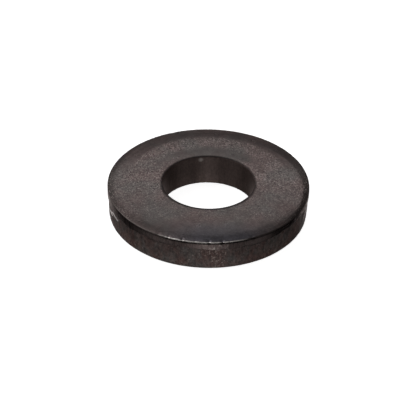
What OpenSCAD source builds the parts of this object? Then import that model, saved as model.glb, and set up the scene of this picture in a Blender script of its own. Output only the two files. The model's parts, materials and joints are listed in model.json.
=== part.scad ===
// Flat washer punched from thick steel plate.
// The origin is the centre of the bore on the lower bearing face, with +Z along the bore
// towards the upper face, which is the side that the die rolled over.

/* [Ring] */
// Outside diameter, at the burnished band
outer_d = 19.05; // [18.4:0.05:20]
// Bore diameter, at the burnished band
bore_d = 8.731; // [8.2:0.001:9.4]
// Thickness between the two bearing faces
thickness = 3.175; // [2.8:0.005:3.6]

/* [Outer edge] */
// How far the die roll reaches in over the upper face
rim_roll_w = 1.1; // [0.6:0.05:1.6]
// How far the die roll has dropped at the outer wall
rim_roll_d = 0.17; // [0.1:0.01:0.4]
// Height of the fractured wall, from the lower face up to the burnished band
rim_break_h = 2.25; // [1.6:0.05:2.35]
// How far the fractured wall steps in under the burnished band
rim_lip_w = 0.1; // [0.02:0.01:0.2]
// Height of that step
rim_lip_h = 0.07; // [0.03:0.01:0.15]
// How far the fractured wall leans in from there to the lower face
rim_break_w = 0.04; // [0.01:0.01:0.2]
// Radius of the tumbled lower edge
rim_tumble_r = 0.16; // [0.1:0.01:0.5]

/* [Bore edge] */
// How far the die roll reaches out over the upper face
bore_roll_w = 0.35; // [0.1:0.01:0.5]
// How far the die roll has dropped at the bore wall
bore_roll_d = 0.06; // [0.03:0.01:0.1]
// Height of the fractured wall, from the lower face up to the burnished bore
bore_break_h = 1.15; // [0.6:0.05:1.5]
// How far the fractured wall opens out by the lower face
bore_break_w = 0.06; // [0.02:0.01:0.2]
// Radius of the tumbled lower edge
bore_tumble_r = 0.1; // [0.05:0.01:0.25]

/* [Finish] */
// Steps round a full circle
facets = 180; // [48:12:360]
// Steps along each rolled or tumbled edge
edge_steps = 8; // [3:1:12]

/* [Hidden] */

rim_r = outer_d / 2;
bore_r = bore_d / 2;
torn_r = rim_r - rim_lip_w;
torn_h = rim_break_h - rim_lip_h;

// Radius of the outer wall at a height inside the fractured zone
function rim_wall_r(z) = torn_r - rim_break_w * (1 - z / torn_h);

// Radius of the bore wall at a height inside the fractured zone
function bore_wall_r(z) = bore_r + bore_break_w * (1 - z / bore_break_h);

// One corner of the section as [reach, drop] pairs, measured back from the corner along the
// face and down from the face along the wall. The arc starts level with the face.
function corner(reach, drop) =
    let (
        arc_r = (reach * reach + drop * drop) / (2 * drop),
        sweep = asin(min(1, reach / arc_r))
    )
    [
        for (i = [0 : edge_steps])
            let (turn = sweep * i / edge_steps)
            [reach - arc_r * sin(turn), arc_r * (1 - cos(turn))]
    ];

// The same corner, from the wall back to the face
function corner_back(reach, drop) =
    let (points = corner(reach, drop))
    [for (i = [0 : edge_steps]) points[edge_steps - i]];

// Die roll over the outer edge, from the upper face to the outer wall
function rim_roll() = [
    for (p = corner(rim_roll_w, rim_roll_d))
        [rim_r - p.x, thickness - p.y]
];

// Tumbled lower outer edge, from the outer wall to the lower face
function rim_tumble() = [
    for (p = corner_back(rim_tumble_r, rim_tumble_r))
        [rim_wall_r(rim_tumble_r) - p.x, p.y]
];

// Tumbled lower bore edge, from the lower face to the bore wall
function bore_tumble() = [
    for (p = corner(bore_tumble_r, bore_tumble_r))
        [bore_wall_r(bore_tumble_r) + p.x, p.y]
];

// Die roll over the bore's edge, from the bore wall to the upper face
function bore_roll() = [
    for (p = corner_back(bore_roll_w, bore_roll_d))
        [bore_r + p.x, thickness - p.y]
];

// The ring's section: parallel faces, and on both the outer edge and the bore a die roll,
// a straight burnished wall, a leaning fractured wall and a tumbled lower edge. On the
// outside the fractured wall starts from a small step in.
module ring_section() {
    polygon(concat(
        rim_roll(),
        [[rim_r, rim_break_h], [torn_r, torn_h]],
        rim_tumble(),
        bore_tumble(),
        [[bore_r, bore_break_h]],
        bore_roll()
    ));
}

// The washer, one piece of black-oxide steel
module washer() {
    color("#4b4443")
        rotate_extrude($fn = facets)
            ring_section();
}

washer();
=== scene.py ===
"""The looks of a flat washer punched from thick steel plate, with a black-oxide finish.

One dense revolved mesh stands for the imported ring. Its section has the zones a punch leaves:
a die roll over the upper edge, a burnished band, a fractured wall and a tumbled lower edge,
on the outside and in the bore. The photo looks at it from -Y, so front is towards -Y, rear
is +Y, left is -X and right is +X. Lengths are in millimetres unless a comment says otherwise.
"""

import json
import math

import bpy
import numpy as np
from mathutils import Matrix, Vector


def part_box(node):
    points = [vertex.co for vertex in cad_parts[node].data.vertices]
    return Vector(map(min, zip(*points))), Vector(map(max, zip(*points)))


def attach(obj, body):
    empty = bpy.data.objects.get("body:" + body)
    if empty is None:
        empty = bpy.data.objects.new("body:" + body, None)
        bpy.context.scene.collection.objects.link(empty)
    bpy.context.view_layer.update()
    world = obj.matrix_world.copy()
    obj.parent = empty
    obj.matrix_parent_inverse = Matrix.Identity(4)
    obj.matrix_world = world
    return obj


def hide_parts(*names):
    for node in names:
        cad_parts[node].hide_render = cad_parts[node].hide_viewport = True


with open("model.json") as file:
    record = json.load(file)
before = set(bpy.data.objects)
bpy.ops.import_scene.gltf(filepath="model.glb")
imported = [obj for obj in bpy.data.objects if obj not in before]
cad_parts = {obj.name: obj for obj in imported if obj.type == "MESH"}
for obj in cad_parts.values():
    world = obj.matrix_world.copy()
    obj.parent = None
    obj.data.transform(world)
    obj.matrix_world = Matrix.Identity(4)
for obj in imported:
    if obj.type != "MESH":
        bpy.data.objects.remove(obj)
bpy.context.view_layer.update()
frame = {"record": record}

# ---------------------------------------------------------------- sizes, from the frame

MM = 0.001

ring_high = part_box("washer")[1]
mounts = {m["name"]: m for m in frame["record"]["mounts"]}
bore_middle = mounts["bore"]["pos_m"][2] / MM
bore_half = mounts["bore"]["dims"]["length_mm"] / 2

RIM_R = max(ring_high.x, ring_high.y) / MM
THICK = ring_high.z / MM
BORE_R = mounts["bore"]["dims"]["r_mm"]
BORE_BREAK_H = bore_middle - bore_half
BORE_ROLL_D = THICK - bore_middle - bore_half

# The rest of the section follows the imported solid
RIM_ROLL_W = 1.1
RIM_ROLL_D = 0.17
RIM_BREAK_H = 2.25
RIM_LIP_W = 0.10
RIM_LIP_H = 0.07
RIM_BREAK_W = 0.04
RIM_TUMBLE_R = 0.16
BORE_ROLL_W = 0.35
BORE_BREAK_W = 0.06
BORE_TUMBLE_R = 0.1

# Height of the sharp upper edge, the radius that wear has put on it, and how far that round's
# middle lies below the edge, as a share of its radius
EDGE_Z = THICK - RIM_ROLL_D
EDGE_R = 0.07
EDGE_SINK = 0.75

# The press left the cut walls out of square: how far the lower face is set over to -X
SKEW = 0.03

# The rim's radius in metres, which masks, lights and camera use as their unit
UNIT = RIM_R * MM

# Points beyond this radius belong to the outer wall, or lie close to it
OUTER_WALL = RIM_R - 0.3

# ---------------------------------------------------------------- places on the ring

# The crisp shoulder of the die roll, on the right towards the front. Its middle angle and half
# width are in degrees. Its radius, how far that grows towards -Y and its limit are in rim radii.
# Its drop pulls the wall down too, as far below the upper face as its reach.
SHOULDER_AT = -28
SHOULDER_HALF_WIDTH = 34
SHOULDER_R = 0.927
SHOULDER_LEAN = 0.10
SHOULDER_R_MAX = 0.97
SHOULDER_DROP = 0.12
SHOULDER_REACH = 0.5

# A patch of the front wall that something scraped, across X in rim radii
SCRAPE_X = 0.09
SCRAPE_HALF_WIDTH = 0.17

# Painted highlights on slivers of burr under the burnished band, colour only, in short straight
# lengths:
# the X side each is on, its two ends as (distance towards -Y, height) and its half width
BURR_GLINTS = [
    (-1, (1.30, 1.02), (2.20, 1.16), 0.15),
    (-1, (2.20, 1.16), (3.25, 1.26), 0.08),
    (-1, (2.20, 1.16), (3.55, 1.74), 0.09),
    (-1, (3.55, 1.74), (4.40, 1.58), 0.11),
    (1, (2.20, 1.95), (2.50, 1.45), 0.15),
    (1, (2.50, 1.45), (2.95, 1.10), 0.09),
]

# How far the painted burr highlights wander off those lines, and how softly a length of one ends
BURR_GLINT_WANDER = 0.10
BURR_GLINT_FADE = 0.1

# A light scuff on the bore's far wall: its X, how far it is below the upper face, and its place
SCUFF_X = -0.78
SCUFF_BELOW = 0.40
SCUFF_AT = (SCUFF_X, math.sqrt(BORE_R ** 2 - SCUFF_X ** 2), THICK - SCUFF_BELOW)

# Where handling has nicked the upper edge: angle, half width in degrees, depth
NICKS = [
    (-148, 1.0, 0.03), (-118, 0.7, 0.03), (-112, 0.5, 0.03), (-104, 0.8, 0.05),
    (-97, 0.5, 0.02), (-89.3, 0.7, 0.07), (-82, 0.9, 0.10), (-78, 0.5, 0.02),
    (-64.7, 1.0, 0.09), (-47, 1.2, 0.03), (-12, 0.8, 0.02), (31, 1.1, 0.02), (112, 1.3, 0.02),
]

# How far up and down from the edge a nick reaches
NICK_REACH = 0.16


def add_object(name, data):
    """A new object in the scene, made from a mesh, a light or a camera."""
    thing = bpy.data.objects.new(name, data)
    bpy.context.scene.collection.objects.link(thing)
    return thing


# ---------------------------------------------------------------- the section

# Zones of the section, each with its own material, in the order of the material slots
FACE, EDGE, BURNISHED, FRACTURED, BORE = range(5)


def line(start, end, steps):
    """Points from start up to, but not including, end."""
    return [
        (start[0] + (end[0] - start[0]) * i / steps, start[1] + (end[1] - start[1]) * i / steps)
        for i in range(steps)
    ]


def arc(reach, drop):
    """Radius and sweep of the arc that leaves a face level and has fallen by drop at reach."""
    radius = (reach ** 2 + drop ** 2) / (2 * drop)
    return radius, math.asin(min(1.0, reach / radius))


def corner(reach, drop, steps):
    """That arc's points as (distance from the corner, drop) pairs, from the face to the wall."""
    radius, sweep = arc(reach, drop)
    turns = [sweep * i / steps for i in range(steps + 1)]
    return [(reach - radius * math.sin(t), radius * (1 - math.cos(t))) for t in turns]


def worn_edge(steps):
    """The worn upper edge, from the top of the wall to the outer end of the die roll."""
    slope = arc(RIM_ROLL_W, RIM_ROLL_D)[1]
    centre_z = EDGE_Z - EDGE_SINK * EDGE_R
    turns = [(math.pi / 2 - slope) * i / steps for i in range(steps + 1)]
    return [
        (RIM_R - EDGE_R * (1 - math.cos(t)), centre_z + EDGE_R * math.sin(t))
        for t in turns
    ]


def section():
    """The ring's outline as (radius, height, zone), once round, starting on the lower face."""
    torn_h = RIM_BREAK_H - RIM_LIP_H
    torn_r = RIM_R - RIM_LIP_W
    rim_foot = torn_r - RIM_BREAK_W * (1 - RIM_TUMBLE_R / torn_h)
    bore_foot = BORE_R + BORE_BREAK_W * (1 - BORE_TUMBLE_R / BORE_BREAK_H)

    rim_tumble = [(rim_foot - d, z) for d, z in corner(RIM_TUMBLE_R, RIM_TUMBLE_R, steps=5)]
    rim_roll = [(RIM_R - d, THICK - z) for d, z in corner(RIM_ROLL_W, RIM_ROLL_D, steps=14)]
    rim_roll.reverse()
    bore_roll = [(BORE_R + d, THICK - z) for d, z in corner(BORE_ROLL_W, BORE_ROLL_D, steps=5)]
    bore_tumble = [(bore_foot + d, z) for d, z in corner(BORE_TUMBLE_R, BORE_TUMBLE_R, steps=4)]
    bore_tumble.reverse()

    stretches = [
        (FACE, line(bore_tumble[-1], rim_tumble[0], steps=9)),
        (FRACTURED, rim_tumble[:-1]),
        (FRACTURED, line(rim_tumble[-1], (torn_r, torn_h), steps=26)),
        (FRACTURED, line((torn_r, torn_h), (RIM_R, RIM_BREAK_H), steps=3)),
        (BURNISHED, line((RIM_R, RIM_BREAK_H), (RIM_R, EDGE_Z - EDGE_R), steps=9)),
        (EDGE, worn_edge(steps=6)),
        (FACE, [p for p in rim_roll if p[0] < RIM_R - EDGE_R]),
        (FACE, line(rim_roll[-1], bore_roll[0], steps=26)[1:]),
        (FACE, bore_roll[:-1]),
        (BORE, line(bore_roll[-1], (BORE_R, BORE_BREAK_H), steps=16)),
        (BORE, line((BORE_R, BORE_BREAK_H), bore_tumble[0], steps=10)),
        (BORE, bore_tumble[:-1]),
    ]
    return [(r, z, zone) for zone, points in stretches for r, z in points]


# ---------------------------------------------------------------- relief

# Steps round the ring. The angles are a column, so that they spread over a row of points.
STEPS_ROUND = 720
TURNS = np.arange(STEPS_ROUND)[:, None] / STEPS_ROUND
ANGLES = 2 * np.pi * TURNS

# Relief as layers of noise: where, its depth, its cells round the ring and along the section,
# and its seed
LAYERS = [
    ("face", 0.006, 14, 4, 11),          # slow waves left by the plate
    ("face", 0.0015, 150, 16, 12),       # fine unevenness of its skin
    ("torn wall", 0.018, 170, 5, 21),    # upright tears
    ("torn wall", 0.0108, 330, 14, 22),  # coarse grains across them
    ("torn wall", 0.022, 26, 3, 23),     # slow waves
    ("burnished", 0.002, 300, 2, 31),    # faint drag lines of the die
    ("bore", 0.002, 130, 5, 41),         # drag lines of the punch
    ("torn bore", 0.009, 130, 5, 41),    # the same lines, torn deeper
    ("edge", 0.012, 210, 4, 51),         # wear, which only takes away
]

# How far the torn wall's relief takes to fade in from its foot and out under the band, and the
# torn bore's relief to fade in below its band
FOOT_FADE = 0.3
BAND_FADE = 0.15
BORE_FADE = 0.3

# How the burnished band's lower end wanders: by how much, in how many cells, and the seed
BAND_WANDER = [(0.10, 34, 61), (0.04, 120, 62)]


def lattice_noise(turn, height, round_cells, up_cells, seed):
    """Smooth value noise from -1 to 1. It repeats once round the ring, so it has no seam."""
    table = np.random.RandomState(seed).uniform(-1, 1, (round_cells, up_cells + 2))
    u = np.mod(turn, 1.0) * round_cells
    v = np.clip(height, 0, 1) * up_cells
    i, j = u.astype(int) % round_cells, v.astype(int)
    fu, fv = u - np.floor(u), v - np.floor(v)
    fu, fv = fu * fu * (3 - 2 * fu), fv * fv * (3 - 2 * fv)
    i2 = (i + 1) % round_cells
    low = table[i, j] * (1 - fu) + table[i2, j] * fu
    high = table[i, j + 1] * (1 - fu) + table[i2, j + 1] * fu
    return low * (1 - fv) + high * fv


def bump_at(centre_deg, half_width_deg):
    """A smooth hump of height 1 round one angle."""
    away = np.degrees(np.angle(np.exp(1j * (ANGLES - math.radians(centre_deg)))))
    return np.exp(-(away / half_width_deg) ** 2)


def relief(radius, height, zone):
    """How far the surface stands out from the plain section, by angle and by row."""
    up = height / THICK
    across = (radius - BORE_R) / (RIM_R - BORE_R)
    on_wall = np.minimum(height / FOOT_FADE, (RIM_BREAK_H - height) / BAND_FADE)
    in_bore = (BORE_BREAK_H - height) / BORE_FADE
    places = {
        "face": (zone == FACE, across),
        "torn wall": ((zone == FRACTURED) * np.clip(on_wall, 0, 1), up),
        "burnished": (zone == BURNISHED, up),
        "bore": (zone == BORE, up),
        "torn bore": ((zone == BORE) * np.clip(in_bore, 0, 1), up),
        "edge": (zone == EDGE, up),
    }
    total = np.zeros((STEPS_ROUND, len(radius)))
    for place, depth, round_cells, up_cells, seed in LAYERS:
        share, along = places[place]
        noise = lattice_noise(TURNS, along, round_cells, up_cells, seed)
        total += share * depth * (-np.abs(noise) if place == "edge" else noise)

    near_edge = np.exp(-((height - EDGE_Z) / NICK_REACH) ** 2) * (radius > OUTER_WALL)
    total -= near_edge * sum(depth * bump_at(at, width) for at, width, depth in NICKS)
    return total


def shoulder(radius, height):
    """How far each point is pulled down by the die roll's shoulder."""
    side = bump_at(SHOULDER_AT, SHOULDER_HALF_WIDTH)
    start = np.minimum(SHOULDER_R - SHOULDER_LEAN * np.sin(ANGLES), SHOULDER_R_MAX)
    past = np.clip((radius / RIM_R - start) / (1 - start), 0, 1)
    return SHOULDER_DROP * side * past * (height > THICK - SHOULDER_REACH)


def band_shift(radius, height):
    """How far the outer wall is moved up, so that the burnished band's lower end wanders."""
    level = np.zeros(1)
    wander = sum(by * lattice_noise(TURNS, level, cells, 1, seed) for by, cells, seed in BAND_WANDER)
    top = EDGE_Z - EDGE_R
    share = np.where(height < RIM_BREAK_H, height / RIM_BREAK_H, (top - height) / (top - RIM_BREAK_H))
    return wander * np.clip(share, 0, 1) * (radius > OUTER_WALL)


def outward(radius, height):
    """The section's outward direction at each of its points."""
    along_r = np.roll(radius, -1) - np.roll(radius, 1)
    along_z = np.roll(height, -1) - np.roll(height, 1)
    length = np.hypot(along_r, along_z)
    return along_z / length, -along_r / length


def ring_points(radius, height, zone):
    """Every point of the ring, as rows of the section for each angle."""
    out_r, out_z = outward(radius, height)
    out = relief(radius, height, zone)
    r = radius + out_r * out
    z = height + out_z * out + band_shift(radius, height) - shoulder(radius, height)
    z = np.maximum(z, 0.0)
    skew = SKEW * (1 - z / THICK)
    return np.stack([r * np.cos(ANGLES) - skew, r * np.sin(ANGLES), z], -1)


def ring_quads(rows):
    """The corners of every face, as numbers of points."""
    i, j = np.meshgrid(np.arange(STEPS_ROUND), np.arange(rows), indexing="ij")
    i2, j2 = (i + 1) % STEPS_ROUND, (j + 1) % rows
    return np.stack([a * rows + b for a, b in ((i, j), (i2, j), (i2, j2), (i, j2))], -1)


def build_ring():
    """The whole washer, as one closed mesh with a material for each zone."""
    radius, height, zone = (np.array(column) for column in zip(*section()))
    points = ring_points(radius, height, zone).reshape(-1, 3) * MM
    mesh = bpy.data.meshes.new("washer_ring")
    mesh.from_pydata(points.tolist(), [], ring_quads(len(radius)).reshape(-1, 4).tolist())
    mesh.update()
    for make in (face_steel, edge_steel, burnished_steel, fractured_steel, bore_steel):
        mesh.materials.append(make())
    mesh.polygons.foreach_set("use_smooth", np.ones(len(mesh.polygons), bool))
    mesh.polygons.foreach_set("material_index", np.tile(zone, STEPS_ROUND))
    return add_object("washer_ring", mesh)


# ---------------------------------------------------------------- node trees

class Tree:
    """Builds a node tree. A value is a number, a colour, a place or another node's socket."""

    def __init__(self, tree):
        self.tree = tree

    def node(self, kind, inputs, **settings):
        """A new node with its settings made and its inputs filled."""
        node = self.tree.nodes.new(kind)
        for key, value in settings.items():
            setattr(node, key, value)
        for key, value in inputs.items():
            self.put(node.inputs[key], value)
        return node

    def put(self, socket, value):
        """Fill a socket, with a link if the value is another socket."""
        if isinstance(value, bpy.types.NodeSocket):
            self.tree.links.new(value, socket)
        elif socket.type == "RGBA":
            socket.default_value = (*value, 1.0)
        else:
            socket.default_value = value

    def math(self, operation, *values, clamp=False):
        inputs = dict(enumerate(values))
        return self.node("ShaderNodeMath", inputs, operation=operation, use_clamp=clamp).outputs[0]

    def plus(self, first, second):
        return self.math("ADD", first, second)

    def minus(self, first, second):
        return self.math("SUBTRACT", first, second)

    def times(self, first, second):
        return self.math("MULTIPLY", first, second)

    def absolute(self, value):
        return self.math("ABSOLUTE", value)

    def vector(self, operation, *values):
        """A vector calculation. What a length or a distance gives is a single number."""
        node = self.node("ShaderNodeVectorMath", dict(enumerate(values)), operation=operation)
        return node.outputs["Value" if operation in ("LENGTH", "DISTANCE") else "Vector"]

    def split(self, vector):
        return self.node("ShaderNodeSeparateXYZ", {"Vector": vector}).outputs


class Steel(Tree):
    """A material for one zone of the ring."""

    def __init__(self, name):
        self.material = bpy.data.materials.new(name)
        self.material.use_nodes = True
        super().__init__(self.material.node_tree)
        self.shader = self.tree.nodes["Principled BSDF"]
        self.where = self.node("ShaderNodeTexCoord", {}).outputs["Object"]

    def noise(self, across, up, detail, roughness=0.5):
        """Noise with the given number of cells to the millimetre, across the ring and up it."""
        scale = (across / MM, across / MM, up / MM)
        cells = self.node("ShaderNodeMapping", {"Vector": self.where, "Scale": scale})
        inputs = {
            "Vector": cells.outputs["Vector"],
            "Scale": 1.0,
            "Detail": detail,
            "Roughness": roughness,
        }
        return self.node("ShaderNodeTexNoise", inputs).outputs["Fac"]

    def ramp(self, value, low, high, start=0.3, end=0.7):
        """From low to high while the value goes from start to end, and level outside that.

        Left alone, start and end take in most of a noise's range.
        """
        inputs = {"Value": value, "To Min": low, "To Max": high, "From Min": start, "From Max": end}
        return self.node("ShaderNodeMapRange", inputs).outputs["Result"]

    def rising(self, value, start, end):
        """0 up to start, and 1 from end on."""
        return self.ramp(value, 0.0, 1.0, start, end)

    def falling(self, value, start, end):
        """1 up to start, and 0 from end on."""
        return self.ramp(value, 1.0, 0.0, start, end)

    def mix(self, share, first, second, kind="RGBA"):
        """From the first to the second, a colour or (with kind FLOAT) a number."""
        inputs = {"Factor": share, "A": first, "B": second}
        return self.node("ShaderNodeMix", inputs, data_type=kind).outputs["Result"]

    def shade(self, colour, amount):
        """The colour made darker below 1 and lighter above it."""
        node = self.node("ShaderNodeVectorMath", {"Vector": colour, "Scale": amount}, operation="SCALE")
        return node.outputs["Vector"]

    def tone(self, colour, mask, amount):
        """The colour shaded by an amount where the mask is 1, and left alone where it is 0."""
        return self.shade(colour, self.ramp(mask, 1.0, amount, 0.0, 1.0))

    def mottle(self, colour, noise, amount, start=0.36, end=0.64):
        """The colour shaded up and down by an amount, following a noise."""
        return self.shade(colour, self.ramp(noise, 1 - amount, 1 + amount, start, end))

    def front(self):
        """How far towards -Y, in rim radii."""
        return self.times(self.split(self.where)["Y"], -1 / UNIT)

    def beside(self, x):
        """How far to either side of one X, in rim radii."""
        aside = self.minus(self.split(self.where)["X"], x * UNIT)
        return self.times(self.absolute(aside), 1 / UNIT)

    def from_left(self):
        """How far from the ring's left side, in rim radii: 2 at its right side."""
        return self.beside(-1.0)

    def from_right(self):
        """How far from the ring's right side, in rim radii: 2 at its left side."""
        return self.beside(1.0)

    def height(self):
        """Height above the lower face."""
        return self.times(self.split(self.where)["Z"], 1 / MM)

    def radius(self):
        """Distance from the axis, in rim radii."""
        flat = self.vector("MULTIPLY", self.where, (1 / UNIT, 1 / UNIT, 0))
        return self.vector("LENGTH", flat)

    def distance_to(self, place):
        """Distance from a place."""
        away = self.vector("DISTANCE", self.where, [c * MM for c in place])
        return self.times(away, 1 / MM)

    def scrape(self):
        """1 down the middle of the scraped patch on the wall, fading to 0 at its sides."""
        near = self.falling(self.beside(SCRAPE_X), 0.0, SCRAPE_HALF_WIDTH)
        return self.times(near, self.rising(self.front(), 0.5, 0.9))

    def burr_glint(self):
        """1 on the painted highlights of burr under the burnished band and 0 elsewhere."""
        wander = self.ramp(self.noise(2.4, 1.6, 3), -BURR_GLINT_WANDER, BURR_GLINT_WANDER)
        total = 0.0
        for length in BURR_GLINTS:
            total = self.math("MAXIMUM", self.sliver(wander, *length), total)
        return total

    def sliver(self, wander, side, start, end, half_width):
        """1 on one straight length of painted burr highlight, fading to 0 round it."""
        length = math.dist(start, end)
        step_y, step_z = (end[0] - start[0]) / length, (end[1] - start[1]) / length
        off_y = self.minus(self.times(self.front(), RIM_R), start[0])
        off_z = self.minus(self.height(), start[1])
        along = self.plus(self.times(off_y, step_y), self.times(off_z, step_z))
        across = self.minus(self.times(off_z, step_y), self.times(off_y, step_z))
        across = self.absolute(self.plus(across, wander))
        past = self.absolute(self.minus(along, length / 2))
        narrow = self.falling(across, half_width * 0.7, half_width * 1.3)
        short = self.falling(past, length / 2 - BURR_GLINT_FADE, length / 2 + BURR_GLINT_FADE)
        on_side = self.rising(self.beside(-side), 1.5, 1.6)
        return self.times(self.times(narrow, short), on_side)

    def finish(self, colour, roughness, metallic, bumps, depth):
        """Fill the shader, with small bumps of the given depth."""
        bump = self.node("ShaderNodeBump", {"Height": bumps, "Distance": depth * MM, "Strength": 1.0})
        inputs = {
            "Base Color": colour,
            "Roughness": roughness,
            "Metallic": metallic,
            "Specular Tint": SPECULAR_TINT,
            "Normal": bump.outputs["Normal"],
        }
        for key, value in inputs.items():
            self.put(self.shader.inputs[key], value)
        return self.material


# ---------------------------------------------------------------- materials

# Black oxide is dark, warm and part metal
WARM = (0.146, 0.111, 0.107)
GREY = (0.124, 0.114, 0.110)
# A painted reflection near the face's front edge
BLUE = (0.100, 0.098, 0.114)
BROWN = (0.105, 0.078, 0.070)
RED_BROWN = (0.118, 0.074, 0.067)
BORE_BROWN = (0.092, 0.068, 0.062)
DARK = (0.060, 0.050, 0.047)
# A painted sheen on the edge's left front
EDGE_SHEEN = (0.15, 0.13, 0.125)
SPECULAR_TINT = (1.0, 0.86, 0.83)

# Where the steel shows through it, on flecks, scrapes and scuffs, and colours for painted highlights:
# sparkle on the face's grain, the worn edge's front, where wear and highlight go together, and the burr
GLINT = (0.44, 0.38, 0.36)
FLECK = (0.40, 0.33, 0.30)
SCRAPED = (0.30, 0.265, 0.25)
SCUFFED = (0.36, 0.33, 0.31)
WORN_HIGHLIGHT = (0.95, 0.92, 0.89)
GLINT_WHITE = (1.0, 0.98, 0.96)

# Where the die roll sets in along the rear of the face, in rim radii
REAR_ROLL_START = (0.79, 0.835)

# Where the painted shade on the bore's lip fades out beyond the bore, and how much wider it is in front
LIP_FADE = (0.08, 0.22)
LIP_FRONT = 0.16


def painted_rear_roll(n, front, radius):
    """Painted shade and light on the die roll at the rear: dark where it sets in, and lighter outside
    that.
    """
    inside = n.ramp(radius, 1.12, 0.97, 0.70, 0.79)
    start = n.ramp(radius, 1.0, 0.52, *REAR_ROLL_START)
    outside = n.ramp(radius, 1.0, 3.0, 0.89, 0.98)
    at_rear = n.falling(front, -0.55, -0.15)
    return n.mix(at_rear, 1.0, n.times(n.times(start, outside), inside), "FLOAT")


def shoulder_mask(n, front, radius):
    """1 on the right of the face past the shoulder, and less towards its other end."""
    leaning = n.minus(radius, n.times(front, SHOULDER_LEAN))
    past = n.rising(leaning, SHOULDER_R - 0.005, SHOULDER_R + 0.01)
    return n.times(past, n.ramp(n.from_left(), 0.30, 1.0, 1.5, 1.75))


def lip_mask(n, front, radius):
    """1 on the bore's rolled lip, which shows wider in front."""
    outside = n.minus(n.times(radius, RIM_R), BORE_R)
    wider = n.ramp(front, 0.0, LIP_FRONT, 0.05, 0.30)
    return n.falling(n.minus(outside, wider), *LIP_FADE)


def face_steel():
    """The plate's own skin: a fine sandy grain under the oxide, calmer towards -Y.

    Painted shade, light, sparkle and reflection lie on it by where each part is on the ring.
    """
    n = Steel("face_steel")
    front = n.front()
    radius = n.radius()
    grain = n.noise(5.6, 5.6, 5, 0.75)
    fine = n.noise(8.0, 8.0, 2, 0.6)

    drift = n.rising(n.noise(0.3, 0.3, 3), 0.42, 0.62)
    # Painted reflection: a bluish darkening near the front edge
    blue_reflection = n.times(n.rising(front, 0.66, 0.88), n.falling(n.beside(0.12), 0.2, 0.65))
    colour = n.mix(blue_reflection, n.mix(drift, WARM, GREY), BLUE)

    inner_rear = n.times(n.falling(radius, 0.59, 0.67), n.falling(front, -0.45, -0.15))
    outer_front = n.times(n.rising(radius, 0.74, 0.88), n.rising(front, 0.25, 0.6))
    front_roll = n.times(n.rising(radius, 0.93, 0.99), n.rising(front, 0.5, 0.8))
    left_roll = n.times(n.rising(radius, 0.92, 0.97), n.rising(n.from_right(), 1.2, 1.6))
    rear_right = n.times(n.rising(n.from_left(), 0.9, 1.3), n.falling(front, -0.4, -0.1))
    nearer = n.rising(front, 0.02, 0.38)

    # Painted shade and light, standing in for how light and reflections fall on the face: each place
    # and how much darker or lighter it is painted
    painted_tones = [
        (inner_rear, 0.80),
        (outer_front, 0.74),
        (front_roll, 1.75),
        (left_roll, 0.50),
        (rear_right, 0.93),
        (nearer, 0.92),
        (shoulder_mask(n, front, radius), 0.38),
    ]
    for mask, amount in painted_tones:
        colour = n.tone(colour, mask, amount)
    # Painted shade and light on the die roll at the rear
    colour = n.shade(colour, painted_rear_roll(n, front, radius))
    colour = n.mottle(colour, n.noise(0.9, 0.9, 4, 0.6), 0.12, 0.38, 0.62)
    colour = n.mottle(colour, n.noise(2.3, 2.3, 2), 0.08, 0.38, 0.62)

    # The speckle, grain and painted sparkle together, is calm towards -Y, by the bore at the rear and
    # on the rear's roll
    calm_front = n.rising(front, 0.42, 0.72)
    rear_rim = n.times(n.rising(radius, *REAR_ROLL_START), n.falling(front, -0.4, 0.0))
    calm = n.math("MAXIMUM", calm_front, n.times(nearer, 0.55))
    calm = n.math("MAXIMUM", calm, n.math("MAXIMUM", rear_rim, inner_rear))
    speckle = n.ramp(grain, 0.15, 1.85, 0.35, 0.65)
    colour = n.shade(colour, n.mix(n.times(calm, 0.78), speckle, 1.0, "FLOAT"))
    # Painted sparkle: glints on the grain's high points, fewest where the face is calm
    glint = n.times(n.rising(fine, 0.57, 0.66), n.ramp(calm, 0.9, 0.05, 0.0, 1.0))
    colour = n.mix(glint, colour, GLINT)

    lip = lip_mask(n, front, radius)
    # Painted shade on the bore's rolled lip, which is also rougher
    colour = n.tone(colour, lip, 0.30)
    rough = n.mix(lip, n.ramp(n.noise(1.1, 1.1, 3), 0.27, 0.36), 0.6, "FLOAT")
    return n.finish(colour, rough, 0.6, n.plus(grain, n.times(fine, 0.5)), 0.020)


def edge_steel():
    """The worn corner: along the front, in broken lengths, handling's wear and a painted highlight
    together, in near-white.
    """
    n = Steel("edge_steel")
    front = n.front()
    front_middle = n.times(n.rising(front, 0.70, 0.86), n.falling(n.beside(-0.05), 0.28, 0.44))
    worn_and_highlight = n.times(n.ramp(n.noise(1.6, 2.0, 4, 0.7), 0.40, 1.0, 0.33, 0.52), front_middle)
    # Painted sheen: a lighter grey along the left front of the edge
    left_front_sheen = n.times(n.rising(n.from_right(), 1.3, 1.6), n.rising(front, 0.15, 0.4))
    colour = n.mix(worn_and_highlight, n.mix(left_front_sheen, DARK, EDGE_SHEEN), WORN_HIGHLIGHT)
    rough = n.ramp(worn_and_highlight, 0.48, 0.30, 0.0, 1.0)
    return n.finish(colour, rough, 0.6, n.noise(6.0, 3.0, 2), 0.006)


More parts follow.
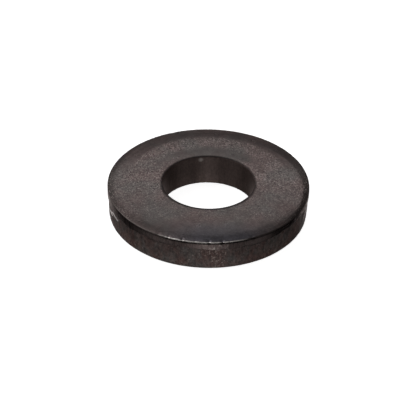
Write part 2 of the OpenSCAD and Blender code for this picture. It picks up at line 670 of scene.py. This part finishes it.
def burnished_steel():
    """The band the die has rubbed smooth, with fine upright drag lines.

    It carries painted reflection and shade round the front, and a painted dark line along its top.
    """
    n = Steel("burnished_steel")
    drag = n.noise(7.0, 0.6, 3, 0.65)
    scuff = n.rising(n.noise(3.2, 3.6, 4, 0.7), 0.50, 0.66)
    scraped = n.times(scuff, n.ramp(n.scrape(), 0.25, 1.0, 0.0, 0.8))
    colour = n.mix(n.ramp(drag, 0.0, 1.0), DARK, WARM)
    colour = n.mix(scraped, colour, SCRAPED)

    # Painted reflection and shade: lighter in the middle of the front, darker away from it, most of all
    # to the right
    colour = n.shade(colour, n.ramp(n.beside(-0.05), 1.12, 0.54, 0.30, 0.70))
    colour = n.shade(colour, n.ramp(n.from_left(), 1.0, 0.38, 1.5, 1.75))
    colour = n.shade(colour, n.ramp(n.from_left(), 1.0, 0.60, 1.86, 1.95))
    colour = n.shade(colour, n.ramp(n.from_right(), 1.0, 0.40, 1.84, 1.95))

    # Painted shade: a dark line along the band's top, fainter on the left
    top = n.rising(n.height(), EDGE_Z - 0.27, EDGE_Z - 0.20)
    top = n.times(top, n.ramp(n.from_right(), 0.85, 0.45, 1.25, 1.6))
    colour = n.shade(colour, n.minus(1.0, top))
    rough = n.ramp(drag, 0.22, 0.36)
    return n.finish(colour, rough, 0.7, n.plus(drag, n.times(scuff, 0.5)), 0.010)


def fractured_steel():
    """The torn wall: mottled red-brown and grey, grainy, with upright streaks and flecks."""
    n = Steel("fractured_steel")
    height = n.height()
    streak = n.noise(3.6, 0.7, 4, 0.6)
    patch = n.noise(0.9, 0.7, 3, 0.6)
    grain = n.noise(4.6, 3.2, 5, 0.75)
    colour = n.mix(n.rising(patch, 0.40, 0.60), RED_BROWN, GREY)
    colour = n.mix(n.ramp(streak, 0.0, 0.7, 0.44, 0.62), colour, BROWN)
    colour = n.mottle(colour, streak, 0.22)
    colour = n.mottle(colour, grain, 0.50)

    # More streaks away from the middle of the front
    sides = n.rising(n.beside(0.0), 0.4, 0.75)
    streaked = n.ramp(n.noise(3.0, 0.9, 4), 0.66, 1.34, 0.36, 0.64)
    colour = n.shade(colour, n.mix(sides, 1.0, streaked, "FLOAT"))

    # Bare flecks, with more of them down the scraped patch
    flecks = n.plus(n.ramp(n.scrape(), 0.0, 0.12, 0.0, 1.0), n.noise(7.5, 4.0, 2, 0.6))
    colour = n.mix(n.rising(flecks, 0.66, 0.75), colour, FLECK)
    # Painted light and shade: lighter low on the wall, and a painted shade along its very foot
    colour = n.shade(colour, n.ramp(height, 1.24, 1.0, 0.6, 1.5))
    colour = n.shade(colour, n.ramp(height, 0.45, 1.0, 0.06, 0.20))

    # Painted highlight: near-white slivers on the burr under the burnished band
    burr_glint = n.times(n.burr_glint(), n.ramp(grain, 0.80, 1.0, 0.40, 0.52))
    colour = n.mix(burr_glint, colour, GLINT_WHITE)
    rough = n.mix(burr_glint, n.ramp(streak, 0.45, 0.65), 0.30, "FLOAT")
    return n.finish(colour, rough, 0.4, n.plus(streak, n.times(grain, 0.7)), 0.030)


def bore_steel():
    """The bore's wall, dark and satin, with faint drag lines, one light scuff and painted light."""
    n = Steel("bore_steel")
    height = n.height()
    drag = n.noise(4.5, 0.35, 4, 0.6)
    grain = n.noise(5.0, 4.0, 4, 0.7)
    colour = n.mix(n.ramp(drag, 0.0, 1.0), BORE_BROWN, BROWN)
    colour = n.mottle(colour, drag, 0.08)
    colour = n.mottle(colour, grain, 0.20)
    # Painted light and shade: lighter towards the foot and the sides, darker in the middle, lighter
    # still low on the left
    colour = n.shade(colour, n.ramp(height, 1.16, 0.97, 0.4, 1.8))
    colour = n.shade(colour, n.ramp(n.beside(0.0), 0.90, 1.06, 0.08, 0.32))
    low_left_light = n.times(n.falling(height, 0.6, 1.8), n.rising(n.beside(0.46), 0.6, 0.8))
    colour = n.tone(colour, low_left_light, 1.4)
    scuff = n.ramp(n.distance_to(SCUFF_AT), 0.85, 0.0, 0.08, 0.30)
    colour = n.mix(scuff, colour, SCUFFED)
    rough = n.ramp(drag, 0.38, 0.52)
    return n.finish(colour, rough, 0.5, n.plus(drag, n.times(grain, 0.4)), 0.010)


# ---------------------------------------------------------------- floor

# Half the floor's width in rim radii, and its gap under the ring
FLOOR_REACH = 60
FLOOR_GAP = 0.02


def floor_white():
    """Matt white that glows a little, so that the floor is as pale as the photo's."""
    material = bpy.data.materials.new("floor_white")
    material.use_nodes = True
    shader = material.node_tree.nodes["Principled BSDF"]
    shader.inputs["Base Color"].default_value = (0.9, 0.9, 0.9, 1)
    shader.inputs["Roughness"].default_value = 0.9
    shader.inputs["Specular IOR Level"].default_value = 0.0
    shader.inputs["Emission Color"].default_value = (1, 1, 1, 1)
    shader.inputs["Emission Strength"].default_value = 0.9
    return material


def build_floor():
    """A plain pale floor, just under the ring's lower face."""
    half = FLOOR_REACH * UNIT
    corners = [(-half, -half, 0), (half, -half, 0), (half, half, 0), (-half, half, 0)]
    mesh = bpy.data.meshes.new("floor")
    mesh.from_pydata(corners, [], [(0, 1, 2, 3)])
    mesh.materials.append(floor_white())
    floor = add_object("floor", mesh)
    floor.location.z = -FLOOR_GAP * MM
    floor.visible_glossy = False
    floor.visible_diffuse = False
    floor.visible_shadow = False


# ---------------------------------------------------------------- light

LIGHT_TINT = (1.0, 0.97, 0.96)

# The sky's strength, and the elevations in degrees between which it fades in
SKY = 0.15
SKY_FADE = (-10, 15)

# The soft windows of light in the world: bearing (0 is the camera's side, positive to the
# right), elevation, half width and half height in degrees, and strength
GLOWS = [
    (-120, 50, 45, 35, 3.0),   # soft box high on the left, behind
    (-60, 3, 30, 32, 1.0),     # reflector low on the left
    (60, 40, 30, 25, 0.4),     # soft box on the right
    (0, -35, 30, 25, 1.15),    # table in front
    (0, -60, 30, 25, 2.3),     # table close in front
    (-60, -35, 30, 25, 0.55),  # table to the left
    (60, -35, 30, 25, 0.55),   # table to the right
    (180, -35, 60, 30, 1.2),   # table behind
]


def glow(tree, bearing, elevation, place):
    """One of the glows, which is full at its middle and fades to nothing at its edges."""
    at_bearing, at_elevation, half_width, half_height, strength = place
    aside = tree.math("WRAP", tree.minus(bearing, math.radians(at_bearing)), math.pi, -math.pi)
    above = tree.minus(elevation, math.radians(at_elevation))
    for off, reach in ((aside, half_width), (above, half_height)):
        gone = tree.math("DIVIDE", tree.absolute(off), math.radians(reach))
        strength = tree.times(tree.math("SUBTRACT", 1.0, gone, clamp=True), strength)
    return strength


def build_world():
    """The studio as the steel sees it: a dim sky, soft boxes, and the white table below."""
    world = bpy.data.worlds.new("studio")
    bpy.context.scene.world = world
    world.use_nodes = True
    tree = Tree(world.node_tree)
    towards = tree.split(tree.node("ShaderNodeTexCoord", {}).outputs["Generated"])
    bearing = tree.math("ARCTAN2", towards["X"], tree.times(towards["Y"], -1.0))
    elevation = tree.math("ARCSINE", towards["Z"])

    low, high = (math.radians(edge) for edge in SKY_FADE)
    sky = tree.math("DIVIDE", tree.minus(elevation, low), high - low, clamp=True)
    total = tree.times(sky, SKY)
    for place in GLOWS:
        total = tree.plus(total, glow(tree, bearing, elevation, place))
    background = world.node_tree.nodes["Background"]
    tree.put(background.inputs["Color"], LIGHT_TINT)
    tree.put(background.inputs["Strength"], total)


def area_light(name, at, aim, size, power):
    """A soft panel. Places and sizes are in rim radii, so they follow the washer's size."""
    data = bpy.data.lights.new(name, "AREA")
    data.shape = "RECTANGLE"
    data.size, data.size_y = size[0] * UNIT, size[1] * UNIT
    data.energy = power * UNIT ** 2
    lamp = add_object(name, data)
    lamp.location = Vector(at) * UNIT
    lamp.rotation_euler = (Vector(aim) * UNIT - lamp.location).to_track_quat("-Z", "Y").to_euler()
    lamp.visible_camera = False


def build_lights():
    """The studio's glows, and a long soft box above and behind the ring."""
    build_world()
    area_light("rear_high", at=(0, 3.2, 2.8), aim=(0, 0, 0.3), size=(4.8, 0.5), power=19)


# ---------------------------------------------------------------- camera

# The photo's view: elevation and roll in radians, distance in rim radii, lens and sensor in mm
VIEW_ELEVATION = math.radians(34.11)
VIEW_ROLL = 0.0161
VIEW_DISTANCE = 15.03
VIEW_LENS = 131.4
SENSOR_WIDTH = 36

# How far the camera aims below and to the left of the upper face's middle, in rim radii
AIM_BELOW = 0.2634
AIM_LEFT = 0.001

# Nearest and farthest that it sees, in metres
CLIP = (0.01, 5)


def build_camera():
    """The camera, aimed a little below the middle of the upper face and turned about its view."""
    centre = Vector((0, 0, THICK * MM))
    back = Vector((0, -math.cos(VIEW_ELEVATION), math.sin(VIEW_ELEVATION)))
    up = Vector((0, math.sin(VIEW_ELEVATION), math.cos(VIEW_ELEVATION)))
    left = Vector((-1, 0, 0))
    data = bpy.data.cameras.new("camera")
    data.lens, data.sensor_width = VIEW_LENS, SENSOR_WIDTH
    data.clip_start, data.clip_end = CLIP
    camera = add_object("camera", data)
    camera.location = centre + back * VIEW_DISTANCE * UNIT
    aim = centre - up * AIM_BELOW * UNIT + left * AIM_LEFT * UNIT
    camera.rotation_euler = (aim - camera.location).to_track_quat("-Z", "Y").to_euler()
    camera.rotation_euler.rotate_axis("Z", VIEW_ROLL)
    bpy.context.scene.camera = camera
    bpy.context.scene.view_settings.view_transform = "Standard"


# ---------------------------------------------------------------- the scene

build_camera()
build_lights()
build_floor()

ring = build_ring()
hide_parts("washer")
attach(ring, "root")
